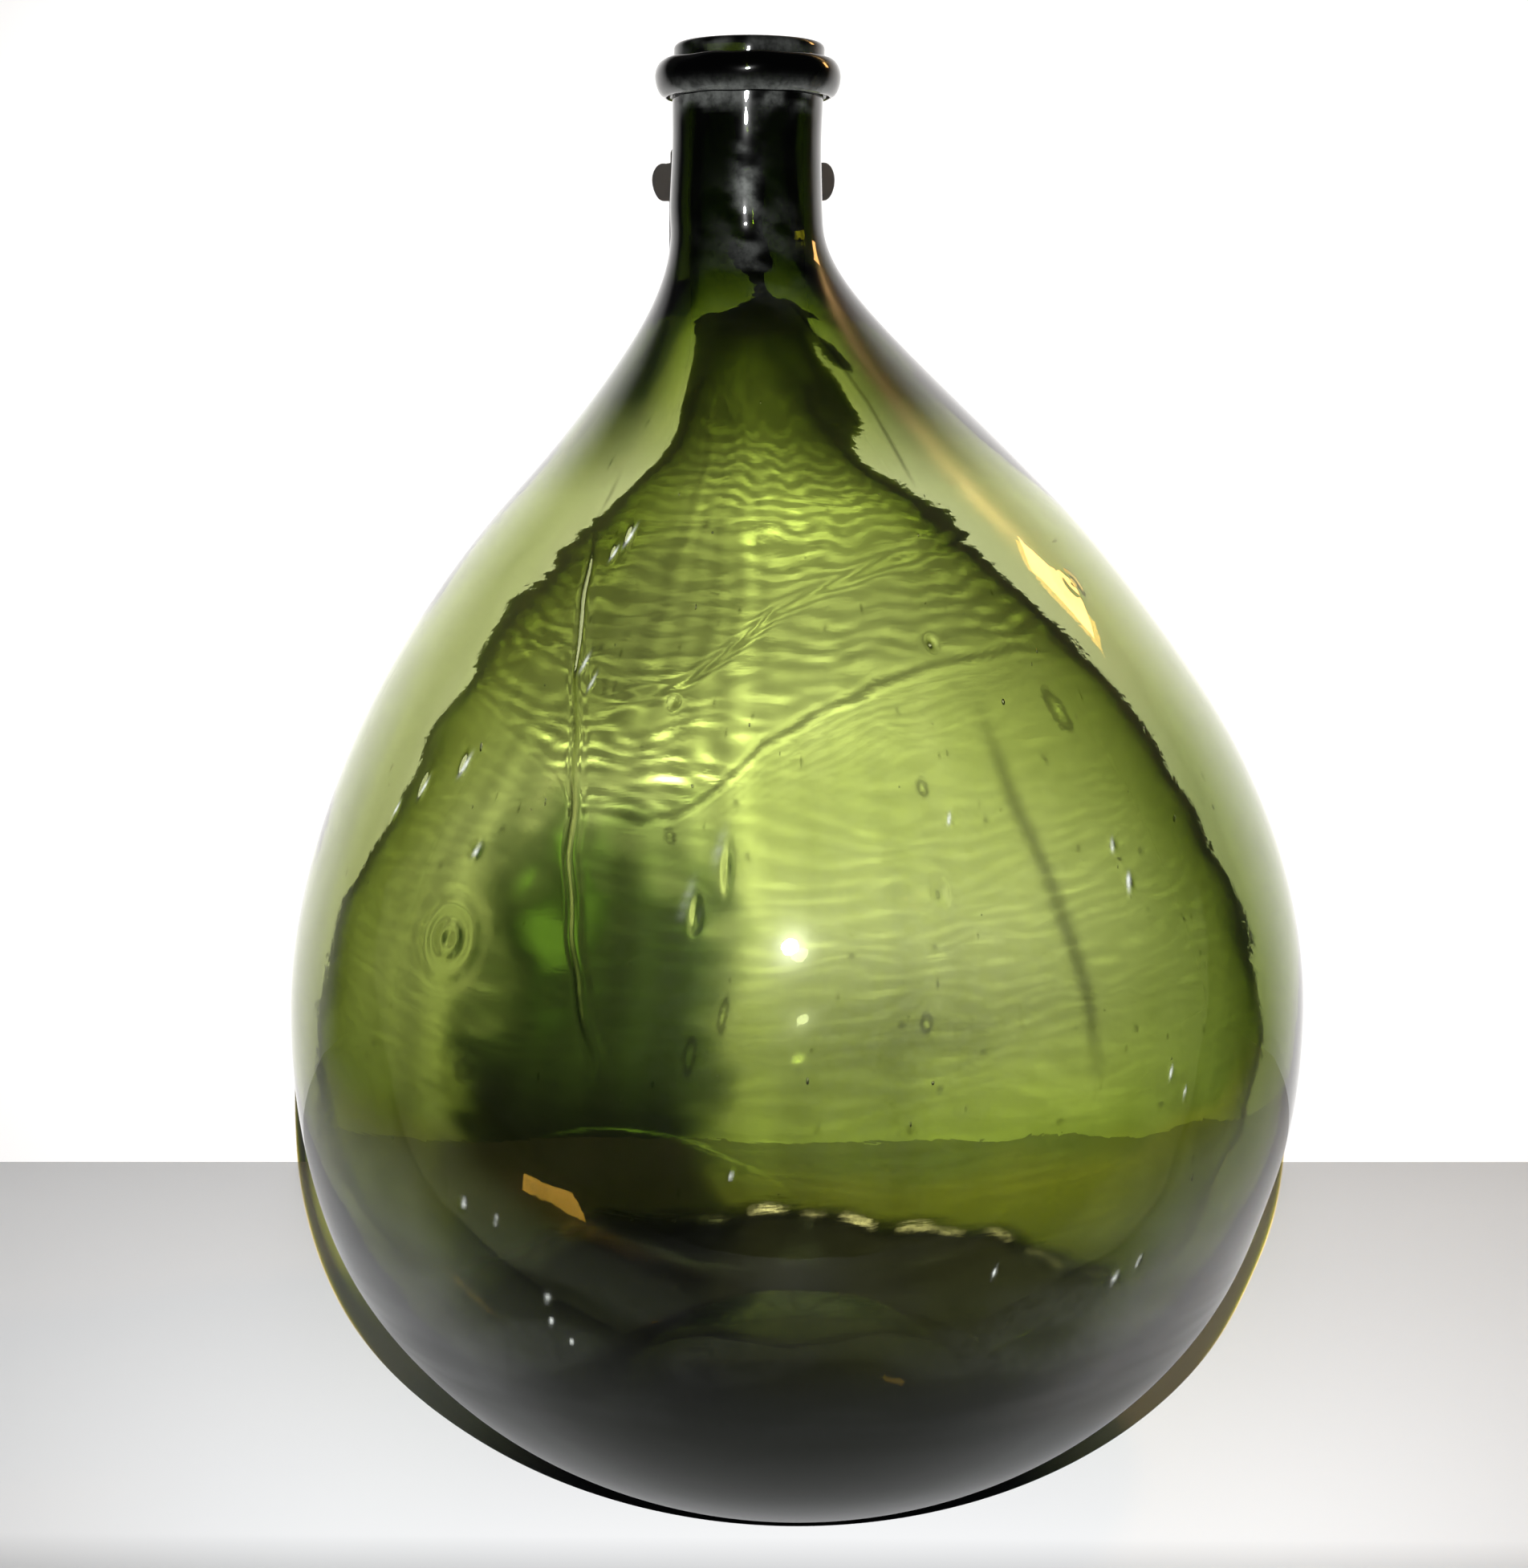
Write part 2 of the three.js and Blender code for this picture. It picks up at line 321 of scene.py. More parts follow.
def across_crease(theta, radius, height):
    """How far to the right of the wavering crease a place is."""
    across = turn_between(theta, np.interp(height, CREASE[:, 1], CREASE[:, 0])) * radius
    return across + 1.2 * np.sin(height / 11) + 0.5 * np.sin(height / 3.7)


def wrinkles(theta, height):
    """The hammered look of the upper half, of about unit height."""
    patches = 0.8 + 0.2 * np.tanh(1.5 * ripples(theta, height, 22, 16, 8, (60, 160)))
    calmer = 1 - 0.6 * step_up(height, 300, 345)
    wander = 2.2 * calmer * ripples(theta, height, 23, 40, 26, (14, 60))
    lines = np.cos(2 * math.pi * height / WRINKLE_PITCH + wander)
    knots = ripples(theta, height, 21, 90, 40, (3.4, 7.6))
    return (0.95 * lines + 0.65 * calmer * knots) * patches


def unevenness(theta, points, inside):
    """How far each point of the glass stands out along its normal, for each azimuth."""
    radius, height = points[:, :1], points[:, 1:]
    outside = ~inside[:, None]
    on_wall = step_up(height, 22, 48) * np.where(radius > 12, 1, 0)
    out = np.zeros((len(points), len(theta)))
    # slow swells of the whole bottle, and slower ones of the inside, which change the wall
    out += 0.35 * ripples(theta, height, 3, 14, 5, (120, 400)) * on_wall * np.where(outside, 1, -1)
    for azimuth, z, wide, tall, proud in WOBBLES:
        near = near_azimuth(theta, azimuth, math.radians(wide)) * bell((height - z) / tall)
        out += proud * near * np.where(outside, 1, -1)
    inner = 0.20 * ripples(theta, height, 11, 22, 5, (90, 240))
    inner -= SIDE_THINNING * np.cos(theta) ** 2 * bell((height - 200) / 150)
    inner -= UPPER_THINNING * bell((height - 295) / 100)
    inner += 0.018 * ripples(theta, height, 12, 30, 20, (18, 50))
    out += np.where(outside, 0, inner * on_wall)
    # wrinkles above the fold
    above = height - fold_height(theta)
    zone = step_up(above, -8, 12) * (1 - step_up(height, 335, 375))
    out += np.where(outside, 0.004, 0.002) * wrinkles(theta, height) * zone
    # orange peel everywhere
    peel = ripples(theta, height, 31, 60, 44, (9, 60))
    out += np.where(outside, 0.004, 0) * peel * on_wall
    # the fold, with a hollow under it
    front = 0.12 + 0.88 * near_azimuth(theta, -88, math.radians(34))
    ridge = 0.05 * bell(above / 1.6) - 0.03 * bell((above + 3.4) / 2.2)
    out += np.where(outside, 1, 0) * front * ridge * on_wall
    # the crease
    along = step_up(height, *CREASE_FOOT) * (1 - step_up(height, 300, 330))
    across = across_crease(theta, radius, height)
    crease = 0.16 * bell(across / 0.9) - 0.12 * bell((across - 2.6) / 1.8)
    out += np.where(outside, 1, 0) * along * crease
    # nicks, blisters and rings
    for nick in NICKS:
        depth = np.where(outside, NICK_DEPTH * nick[2], 0)
        out -= depth * bell(away_from(theta, radius, height, *nick))
    for *blister, proud in BLISTERS:
        out += np.where(outside, proud, 0) * bell(away_from(theta, radius, height, *blister))
    for azimuth, z, pitch, reach, proud in RING_MARKS:
        away = away_from(theta, radius, height, azimuth, z)
        out += np.where(outside, proud, 0) * np.cos(2 * math.pi * away / pitch) * bell(away / reach)
    # nothing stands below the table, or outside the rim's flat
    calm = step_up(height, 4, 20) * (1 - step_up(height, TOTAL_HEIGHT - 12, TOTAL_HEIGHT - 1))
    return out * np.where(outside, calm, on_wall)


def light_sent_on(theta, points, inside):
    """How bright the near side of the outer face sends on a lamp's light, in red, green and blue."""
    radius, height = points[:, :1], points[:, 1:]
    near = step_up(-np.sin(theta), 0.02, 0.2) * ~inside[:, None]
    above = height - fold_height(theta)
    # bright nets under the wrinkles, with upright bands on the left
    upper = step_up(above, -3, 8) * (1 - step_up(height, 385, 425))
    bands = ripples(theta, height, 51, 30, 64, (160, 700)) * near_azimuth(theta, -112, 0.55)
    net = wrinkles(theta, height)
    light = (0.56 * net + 0.18 * (net**2 - 1)) * (0.16 + 0.84 * upper) + 0.18 * bands
    # more goes on through the middle than near the borders
    light += 0.70 * near_azimuth(theta, -82, 0.7) + 0.15
    light -= 0.55 * near_azimuth(theta, -78, 0.4) * bell((height - 226) / 44)
    light += 0.85 * near_azimuth(theta, -68, 0.5) * (1 - step_up(height, 195, 232))
    light -= 0.55 * step_up(height, 305, 345) + 0.4 * step_up(height, 372, 392)
    # the fold is a dark line between two bright ones, with fine lines under its right half
    middle = near_azimuth(theta, -80, math.radians(46))
    light += middle * (0.55 * bell((above + 2.0) / 0.8) + 0.35 * bell((above - 2.0) / 0.9))
    light -= 0.95 * middle * bell(above / 0.95)
    fine = np.cos(2 * math.pi * above / 2.3) * np.exp(np.minimum(0, above + 2) / 9)
    fine = fine * step_up(-above, 2, 5)
    light += 0.34 * fine * near_azimuth(theta, -72, math.radians(26))
    # striations, rings, blisters and dark seeds
    low = height - np.interp(np.degrees(theta), STRIATIONS[:, 0], STRIATIONS[:, 1])
    light += 0.16 * np.cos(2 * math.pi * low / 1.9) * bell(low / 5) * near_azimuth(theta, -76, 0.5)
    for azimuth, z, pitch, reach, _ in RING_MARKS:
        away = away_from(theta, radius, height, azimuth, z)
        light += 0.28 * np.cos(2 * math.pi * away / pitch) * bell(away / reach)
    for *blister, _ in BLISTERS:
        away = away_from(theta, radius, height, *blister)
        light += 0.6 * bell(away / 0.5) - 0.9 * bell((away - 1) / 0.4)
    rng = np.random.default_rng(88)
    for _ in range(DARK_SEEDS):
        azimuth, z, size = rng.uniform(-145, -35), rng.uniform(190, 380), rng.uniform(0.5, 1.1)
        light -= 0.8 * bell(away_from(theta, radius, height, azimuth, z) / size)
    # a soft dark streak down the right
    streak = turn_between(theta, -55 + 1.2 * np.sin(height / 17)) * radius
    light -= 0.75 * bell(streak / 3.0) * step_up(height, 195, 230) * (1 - step_up(height, 290, 325))
    # the dark patch left of the middle, with ragged edges, and what glows green along the crease
    ragged = 1.8 * ripples(theta, height, 61, 40, 40, (9, 60))
    right = turn_between(theta, -97) * radius + ragged
    left = turn_between(theta, -127) * radius + 2 * ragged
    dark = (1 - step_up(right, -16, 7)) * step_up(left, -16, 18)
    dark = dark * (1 - step_up(height + 2 * ragged, 252, 300))
    light -= (2.2 + 2.6 * (1 - step_up(height, 178, 225))) * dark
    green = bell((turn_between(theta, -117.5) * radius + ragged) / 9) * bell((height - 258) / 20)
    green = green * (0.7 + 0.5 * np.tanh(2 * ripples(theta, height, 62, 30, 50, (8, 40))))
    light += 1.6 * green
    # a bright arc along the foot of the patch
    arch = 199 - 0.08 * (np.degrees(theta) + 106) ** 2
    light += 3.4 * bell((height - arch) / 0.8) * near_azimuth(theta, -106, math.radians(10))
    # less goes on towards the table
    lower = 1 - step_up(height + 0.6 * ragged, 172, 192)
    light -= lower * (0.6 * near_azimuth(theta, -130, 0.6) - 0.4)
    light = np.exp(light * near)
    hue = near * np.clip(1.2 * green + 0.8 * dark, 0, 1)
    brown = near * lower
    red = light * (1 - 0.45 * hue) * (1 + 0.25 * brown)
    blue = light * (1 - 0.75 * hue) * (1 - 0.2 * brown)
    return np.stack([red, light * (1 - 0.05 * hue), blue], -1)


def marks_and_painted_light(theta, points, inside):
    """Dirt and painted shade, from 0 to 1, then pale dusting and painted highlights, from 0 to 4, and
    painted shade over the thick bottom, from 0 to 1.
    """
    radius, height = points[:, :1], points[:, 1:]
    outside = ~inside[:, None]
    # painted shade: a dark line along the crease, where its fold turns the light away
    across = across_crease(theta, radius, height)
    wavering = 0.55 + 0.45 * np.tanh(ripples(theta, height, 71, 20, 6, (14, 60)))
    dirt_and_shade = 1.1 * bell(across / 0.8) * wavering
    dirt_and_shade *= step_up(height, *CREASE_FOOT) * (1 - step_up(height, 330, 350))
    # dirt: a hairline down from the neck, and specks
    hairline = turn_between(theta, np.interp(height, HAIRLINE[:, 1], HAIRLINE[:, 0])) * radius
    dirt_and_shade += 0.8 * bell(hairline / 0.9) * step_up(height, 338, 352) * (1 - step_up(height, 396, 404))
    rng = np.random.default_rng(99)
    for _ in range(SPECKS):
        azimuth, z, size = rng.uniform(-165, -15), rng.uniform(110, 385), rng.uniform(0.3, 0.6)
        away = away_from(theta, radius, height, azimuth, z, tall=rng.uniform(1, 3))
        dirt_and_shade += 0.8 * bell(away / size)
    # dust under the ring; a pale streak painted down the front of the neck, where the flash's
    # reflection smears over a dusty film; and two smears beside the middle
    cloud = 0.5 + 0.5 * np.tanh(1.4 * ripples(theta, height, 72, 40, 16, (5, 30)))
    dust_and_highlights = 0.5 * bell((height - 466) / 4) * cloud
    dust_and_highlights += 0.9 * near_azimuth(theta, -89, 0.13) * bell((height - 438) / 16) * cloud
    dust_and_highlights += 0.15 * cloud * near_azimuth(theta, -85, 0.5) * bell((height - 420) / 16)
    for azimuth, z in ((-98, 242), (-101, 228)):
        x = turn_between(theta, azimuth) * radius - 0.25 * (height - z)
        dust_and_highlights += 0.7 * bell(np.hypot(x / 1.4, (height - z) / 4.5))
    # dust on the rim
    dust_and_highlights += 0.30 * cloud * bell((height - 482) / 2)
    # pale blotches low down, fewer in the middle, and the glass darker low down between them
    blotches = 0.5 + 0.5 * np.tanh(2 * ripples(theta, height, 73, 40, 18, (16, 60)))
    beside = 1 - 0.8 * near_azimuth(theta, -90, 0.55)
    dust_and_highlights += 0.12 * blotches * beside * bell((height - 85) / 40)
    dirt_and_shade += 0.35 * (1 - 0.6 * blotches * beside) * bell((height - 95) / 35)
    # a painted glow round the flash's mirror image, and painted glints at the nicks
    dust_and_highlights += 0.18 * near_azimuth(theta, -80, 0.30) * bell((height - 215) / 50)
    for azimuth, z, wide, tall in NICKS:
        x = turn_between(theta, azimuth) * radius - 0.3 * (height - z)
        dust_and_highlights += 5 * bell(np.hypot(x / (0.5 * wide), (height - z) / (0.8 * tall)))
    # painted glints of the flash along the far side inside, where the thick base begins
    shore = 36 + 1.5 * np.sin(9 * theta) + 0.8 * np.sin(23 * theta + 1)
    painted_glints = bell((height - shore) / 0.8) * near_azimuth(theta, 102, 0.8) * (radius > 70)
    painted_glints = painted_glints * step_up(np.cos(23 * theta) + np.cos(37 * theta + 1), -0.8, 1.0)
    # painted shade over the thick base, and over the heel on the near side
    base = 1 - step_up(height - shore, -5, 1)
    heel = (1 - step_up(height + 5 * cloud, 52, 96)) * step_up(-np.sin(theta), -0.2, 0.35)
    dark = np.maximum(base, heel)
    dust_and_highlights = np.clip(dust_and_highlights, 0, 4) * outside + 4 * painted_glints * ~outside
    return np.stack([np.clip(dirt_and_shade, 0, 1) * outside, dust_and_highlights, dark], -1)


def mesh_object(name, vertices, faces_by_size, material):
    """A smooth-shaded object from vertices in metres and arrays of faces with as many corners each."""
    mesh = bpy.data.meshes.new(name)
    mesh.vertices.add(len(vertices))
    mesh.vertices.foreach_set("co", vertices.astype(np.float32).ravel())
    corners = np.concatenate([f.ravel() for f in faces_by_size])
    sizes = np.concatenate([np.full(len(f), f.shape[1]) for f in faces_by_size])
    mesh.loops.add(len(corners))
    mesh.loops.foreach_set("vertex_index", corners.astype(np.int32))
    mesh.polygons.add(len(sizes))
    mesh.polygons.foreach_set("loop_start", (np.cumsum(sizes) - sizes).astype(np.int32))
    mesh.polygons.foreach_set("use_smooth", np.ones(len(sizes), bool))
    mesh.update(calc_edges=True)
    mesh.validate()
    mesh.materials.append(material)
    made = bpy.data.objects.new(name, mesh)
    bpy.context.scene.collection.objects.link(made)
    return made


def paint_vertices(made, name, colours, others):
    """Keeps a colour for each vertex; vertices past the last one given get the grey called others."""
    every = np.full((len(made.data.vertices), 4), others, np.float32)
    every[: len(colours), :3] = colours
    every[:, 3] = 1
    kept = made.data.color_attributes.new(name, "FLOAT_COLOR", "POINT")
    kept.data.foreach_set("color", every.ravel())


def turned(points, normals, stand_out, theta):
    """Vertices in metres of an outline turned round the swaying axis, row by row."""
    radius = points[:, :1] + normals[:, :1] * stand_out
    height = points[:, 1:] + normals[:, 1:] * stand_out
    x = axis_at(points[:, 1:]) + radius * np.cos(theta)
    return np.stack([x, radius * np.sin(theta), height], -1).reshape(-1, 3) * MM


def rows_to_quads(rows, columns, closed):
    """Faces between rows of vertices that close on themselves."""
    last = rows if closed else rows - 1
    j, i = np.meshgrid(np.arange(last), np.arange(columns), indexing="ij")
    here, there = j * columns, (j + 1) % rows * columns
    after = (i + 1) % columns
    return np.stack([here + i, here + after, there + after, there + i], -1).reshape(-1, 4)


# Small bubbles in the wall, and how deep under the outer face their middles lie
SEEDS = 110
SEED_DEPTH = 1.45


def seeds_in_wall(points, inside, count):
    """Small long bubbles in the glass: shells whose faces look into the bubble."""
    rng = np.random.default_rng(77)
    wall = points[~inside]
    top = wall[(wall[:, 1] > 30) & (wall[:, 1] < 410)]
    # a ball of four rings with eight sides, and a point at each end
    rings, sides = 4, 8
    u = np.arange(sides) * 2 * math.pi / sides
    v = np.radians([-60, -20, 20, 60])
    unit = [(0, 0, -1)] + [
        (math.cos(b) * math.cos(a), math.cos(b) * math.sin(a), math.sin(b)) for b in v for a in u
    ] + [(0, 0, 1)]
    unit = np.array(unit)
    quads = rows_to_quads(rings, sides, False) + 1
    tip = rings * sides + 1
    top_ring = tip - sides
    ends = [(0, 1 + (k + 1) % sides, 1 + k) for k in range(sides)]
    ends += [(tip, top_ring + k, top_ring + (k + 1) % sides) for k in range(sides)]
    ends = np.array(ends)
    vertices, all_quads, all_ends = [], [], []
    for number in range(count):
        radius, height = top[rng.integers(len(top))]
        azimuth = rng.uniform(-math.pi, math.pi)
        size = 0.22 + 0.5 * rng.random() ** 4
        length = size * rng.uniform(1.2, 3.2)
        middle = radius - SEED_DEPTH
        tangent = np.array([-math.sin(azimuth), math.cos(azimuth), 0])
        outward = np.array([math.cos(azimuth), math.sin(azimuth), 0])
        centre = np.array([axis_at(height) + middle * outward[0], middle * outward[1], height])
        ball = unit[:, :1] * outward * size + unit[:, 1:2] * tangent * size
        ball = ball + unit[:, 2:] * np.array([0, 0, 1]) * length
        vertices.append((centre + ball) * MM)
        all_quads.append(quads[:, ::-1] + number * len(unit))
        all_ends.append(ends[:, ::-1] + number * len(unit))
    return np.concatenate(vertices), np.concatenate(all_quads), np.concatenate(all_ends)


def glass_body(material):
    theta = AZIMUTHS
    points, inside = body_outline()
    normals = normals_of(points)
    vertices = turned(points, normals, unevenness(theta, points, inside), theta)
    quads = rows_to_quads(len(points), COLUMNS, False)
    poles = np.array([[axis_at(0), 0, KICK_HEIGHT], [axis_at(0), 0, KICK_HEIGHT + WALL_BASE]]) * MM
    first = len(vertices)
    i = np.arange(COLUMNS)
    after = (i + 1) % COLUMNS
    last_row = (len(points) - 1) * COLUMNS
    fans = np.concatenate([
        np.stack([np.full(COLUMNS, first), after, i], 1),
        np.stack([last_row + i, last_row + after, np.full(COLUMNS, first + 1)], 1),
    ])
    seeds, seed_quads, seed_ends = seeds_in_wall(points, inside, SEEDS)
    start = first + 2
    vertices = np.concatenate([vertices, poles, seeds])
    quads = np.concatenate([quads, seed_quads + start])
    fans = np.concatenate([fans, seed_ends + start])
    made = mesh_object("glass_body_blown", vertices, [quads, fans], material)
    paint_vertices(made, "light_sent_on", light_sent_on(theta, points, inside).reshape(-1, 3), 1)
    paint_vertices(made, "marks_and_painted_light", marks_and_painted_light(theta, points, inside).reshape(-1, 3), 0)
    return made


def lip_ring(material):
    """The ring laid on round the neck, sunk a little into it, with its ends lapped at the back."""
    columns, around = 160, 36
    theta = np.linspace(-math.pi, math.pi, columns, endpoint=False)
    t = np.linspace(-math.pi, math.pi, around, endpoint=False)
    half_depth = (RING_PROUD + RING_SUNK) / 2
    middle = LIP_RADIUS - RING_SUNK + half_depth
    section = np.stack([
        middle + half_depth * np.sign(np.cos(t)) * np.abs(np.cos(t)) ** 0.95,
        RING_CENTRE + 0.94 * RING_HALF_HEIGHT * np.sign(np.sin(t)) * np.abs(np.sin(t)) ** 1.12
        + 0.9 * np.cos(t) ** 2,
    ], 1)
    normals = np.stack([np.cos(t), np.sin(t)], 1)
    lap = near_azimuth(theta, 128, math.radians(26))
    outer = np.clip(np.cos(t), 0, 1)[:, None]
    height = section[:, 1:]
    stand_out = outer * (0.8 * lap + 0.22 * ripples(theta, height, 41, 10, 5, (30, 90)))
    stand_out = stand_out + 0.10 * ripples(theta, height, 42, 12, 12, (14, 40))
    stand_out = np.minimum(stand_out, 0.9)
    vertices = turned(section, normals, stand_out, theta)
    quads = rows_to_quads(around, columns, True)
    made = mesh_object("lip_ring_laid", vertices, [quads], material)
    paint_vertices(made, "light_sent_on", np.ones((len(vertices), 3)), 1)
    # dust on its under side
    under = bell((vertices[:, 2] / MM - RING_BOTTOM - 0.5) / 2.5)
    paint_vertices(made, "marks_and_painted_light", np.stack([0 * under, 0.55 * under, 0 * under], 1), 0)
    return made


# Materials
class Nodes:
    """Adds nodes to a tree in short form."""

    def __init__(self, tree):
        self.tree = tree
        tree.nodes.clear()

    def add(self, kind, inputs=None, **settings):
        node = self.tree.nodes.new(kind)
        for name, value in settings.items():
            setattr(node, name, value)
        for name, value in (inputs or {}).items():
            self.put(node.inputs[name], value)
        return node

    def put(self, socket, value):
        if isinstance(value, bpy.types.NodeSocket):
            self.tree.links.new(value, socket)
        else:
            socket.default_value = value

    def math(self, operation, a, b=0.0, clamp=False):
        node = self.add("ShaderNodeMath", {0: a, 1: b}, operation=operation, use_clamp=clamp)
        return node.outputs[0]

    def ramp(self, value, *stops):
        """Colour stops are (place, colour) with a grey number or three numbers."""
        node = self.add("ShaderNodeValToRGB", {"Fac": value})
        elements = node.color_ramp.elements
        while len(elements) < len(stops):
            elements.new(1.0)
        for element, (place, colour) in zip(elements, stops):
            element.position = place
            shade = colour if isinstance(colour, tuple) else (colour,) * 3
            element.color = (*shade, 1)
        return node.outputs["Color"]

    def mix(self, factor, a, b, blend="MIX"):
        node = self.add("ShaderNodeMix", data_type="RGBA", blend_type=blend)
        self.put(node.inputs[0], factor)
        self.put(node.inputs[6], a)
        self.put(node.inputs[7], b)
        return node.outputs[2]

    def noise(self, vector, scale, detail=2.0, roughness=0.5, distortion=0.0):
        node = self.add(
            "ShaderNodeTexNoise",
            {
                "Vector": vector,
                "Scale": scale,
                "Detail": detail,
                "Roughness": roughness,
                "Distortion": distortion,
            },
        )
        return node.outputs["Fac"]

    def stretched(self, vector, scale):
        node = self.add("ShaderNodeMapping", {"Vector": vector, "Scale": scale})
        return node.outputs[0]


def new_material(name):
    material = bpy.data.materials.new(name)
    material.use_nodes = True
    return material, Nodes(material.node_tree)


GREEN = (0.515, 0.575, 0.12)
DENSITY = 265.0
GLASS_IOR = 1.52
# Height in metres where the ramps by height end
RAMP_TOP = 0.5
# Share of the glass that the thickest dust and painted highlights cover
DUST_AND_HIGHLIGHT_COVER = 0.28


def glass(name, tint_by_height, passed_by_height):
    """Green bottle glass: clear and glossy, darker where it is thick, with grime, painted shade,
    painted highlights and fine unevenness.

    What lamps send through it comes out in the light and dark lines of light_sent_on.
    """
    material, n = new_material(name)
    place = n.add("ShaderNodeTexCoord").outputs["Object"]
    across, _, height = n.add("ShaderNodeSeparateXYZ", {"Vector": place}).outputs
    up = n.math("DIVIDE", height, RAMP_TOP)
    tint = n.ramp(up, *tint_by_height)
    # darker glass low on the right
    low = n.ramp(up, (0.50, 1.0), (0.62, 0.0))
    right = n.ramp(n.math("MULTIPLY", across, 5), (0.45, 0.0), (0.75, 1.0))
    thick = n.mix(low, (1, 1, 1, 1), (0.80, 0.84, 0.74, 1))
    thick = n.mix(right, (1, 1, 1, 1), thick)
    tint = n.mix(1.0, tint, thick, "MULTIPLY")
    marks_here = n.add("ShaderNodeVertexColor", layer_name="marks_and_painted_light").outputs["Color"]
    dirt_and_shade, dust_and_highlights, base = n.add("ShaderNodeSeparateColor", {"Color": marks_here}).outputs
    # smudges
    smudge = n.noise(place, 9, 4, 0.6)
    rough = n.ramp(smudge, (0.50, 0.0), (0.75, 0.022))
    # streaks of slightly different glass, drawn out as it was blown, then dirt with painted shade
    streaks = n.noise(n.stretched(place, (1, 1, 0.25)), 34, 4, 0.6, 0.4)
    streaky = n.ramp(streaks, (0.30, (0.93, 0.94, 0.88)), (0.60, (1.0, 1.0, 1.0)))
    tint = n.mix(1.0, tint, streaky, "MULTIPLY")
    tint = n.mix(dirt_and_shade, tint, (0.03, 0.03, 0.01, 1))
    # painted shade over the thick base and the near heel
    tint = n.mix(base, tint, (0.11, 0.12, 0.065, 1))
    # darker towards its outline, a little for the longer way through the glass, and near black along
    # the outline above the shoulder
    facing = n.add("ShaderNodeLayerWeight", {"Blend": 0.5}).outputs["Facing"]
    longer = n.ramp(facing, (0.35, 1.0), (0.60, (0.86, 0.88, 0.66)), (1.0, (0.84, 0.86, 0.64)))
    black_outline = n.ramp(facing, (0.20, 1.0), (0.36, (0.58, 0.63, 0.30)), (0.48, (0.03, 0.04, 0.015)))
    longer = n.mix(n.ramp(up, (0.67, 0.0), (0.74, 1.0)), longer, black_outline)
    tint = n.mix(1.0, tint, longer, "MULTIPLY")
    # unevenness too fine for the mesh
    wavy = n.noise(n.stretched(place, (1, 1, 3.5)), 38, 3, 0.55, 0.8)
    fine = n.noise(place, 420, 2, 0.5)
    bump = n.add("ShaderNodeBump", {"Strength": 0.03, "Distance": 0.0006, "Height": wavy})
    bump = n.add(
        "ShaderNodeBump",
        {"Strength": 0.03, "Distance": 0.0001, "Height": fine, "Normal": bump.outputs[0]},
    )
    body = n.add(
        "ShaderNodeBsdfPrincipled",
        {
            "Base Color": tint,
            "Roughness": rough,
            "IOR": GLASS_IOR,
            "Transmission Weight": 1.0,
            "Coat Weight": 0.04,
            "Coat Roughness": 0.18,
            "Coat IOR": 1.5,
            "Normal": bump.outputs[0],
        },
    )
    # a pale diffuse for dust and for painted highlights
    dust_and_highlight_powder = n.add("ShaderNodeBsdfDiffuse", {"Color": (0.30, 0.32, 0.31, 1), "Roughness": 1.0})
    grain = n.ramp(n.noise(place, 260, 3, 0.7), (0.35, 0.35), (0.65, 1.0))
    thin = n.math("MULTIPLY", n.math("MULTIPLY", dust_and_highlights, grain), DUST_AND_HIGHLIGHT_COVER, clamp=True)
    with_dust_and_highlights = n.add("ShaderNodeMixShader", {0: thin, 1: body.outputs[0], 2: dust_and_highlight_powder.outputs[0]})
    # what lamps send through the glass
    edge = n.ramp(facing, (0.0, 1.0), (0.76, 1.0), (0.92, 0.70), (1.0, 0.05))
    low_edge = n.ramp(
        facing, (0.0, 1.0), (0.45, 1.0), (0.60, (1.3, 1.3, 1.7)), (0.80, (2.0, 1.9, 3.0)),
        (0.92, (2.0, 1.9, 3.0)), (1.0, 1.0),
    )
    edge = n.mix(n.ramp(up, (0.24, 1.0), (0.34, 0.0)), edge, low_edge)
    lines = n.add("ShaderNodeVertexColor", layer_name="light_sent_on").outputs["Color"]
    passed = n.mix(1.0, edge, lines, "MULTIPLY")
    passed = n.mix(1.0, passed, n.ramp(up, *passed_by_height), "MULTIPLY")
    passed = n.mix(base, passed, (0.02, 0.02, 0.01, 1))
    through = n.add("ShaderNodeBsdfTransparent", {"Color": passed})
    # painted shade: a nearly black diffuse laid over the dark base
    painted_shade_diffuse = n.add("ShaderNodeBsdfDiffuse", {"Color": (0.006, 0.007, 0.005, 1), "Roughness": 1.0})
    with_painted_shade = n.add(
        "ShaderNodeMixShader",
        {0: n.math("MULTIPLY", base, 0.55), 1: with_dust_and_highlights.outputs[0], 2: painted_shade_diffuse.outputs[0]},
    )
    path = n.add("ShaderNodeLightPath")
    surface = n.add(
        "ShaderNodeMixShader",
        {0: path.outputs["Is Shadow Ray"], 1: with_painted_shade.outputs[0], 2: through.outputs[0]},
    )
    volume = n.add("ShaderNodeVolumeAbsorption", {"Color": (*GREEN, 1), "Density": DENSITY})
    out = n.add("ShaderNodeOutputMaterial")
    n.tree.links.new(surface.outputs[0], out.inputs["Surface"])
    n.tree.links.new(volume.outputs[0], out.inputs["Volume"])
    return material


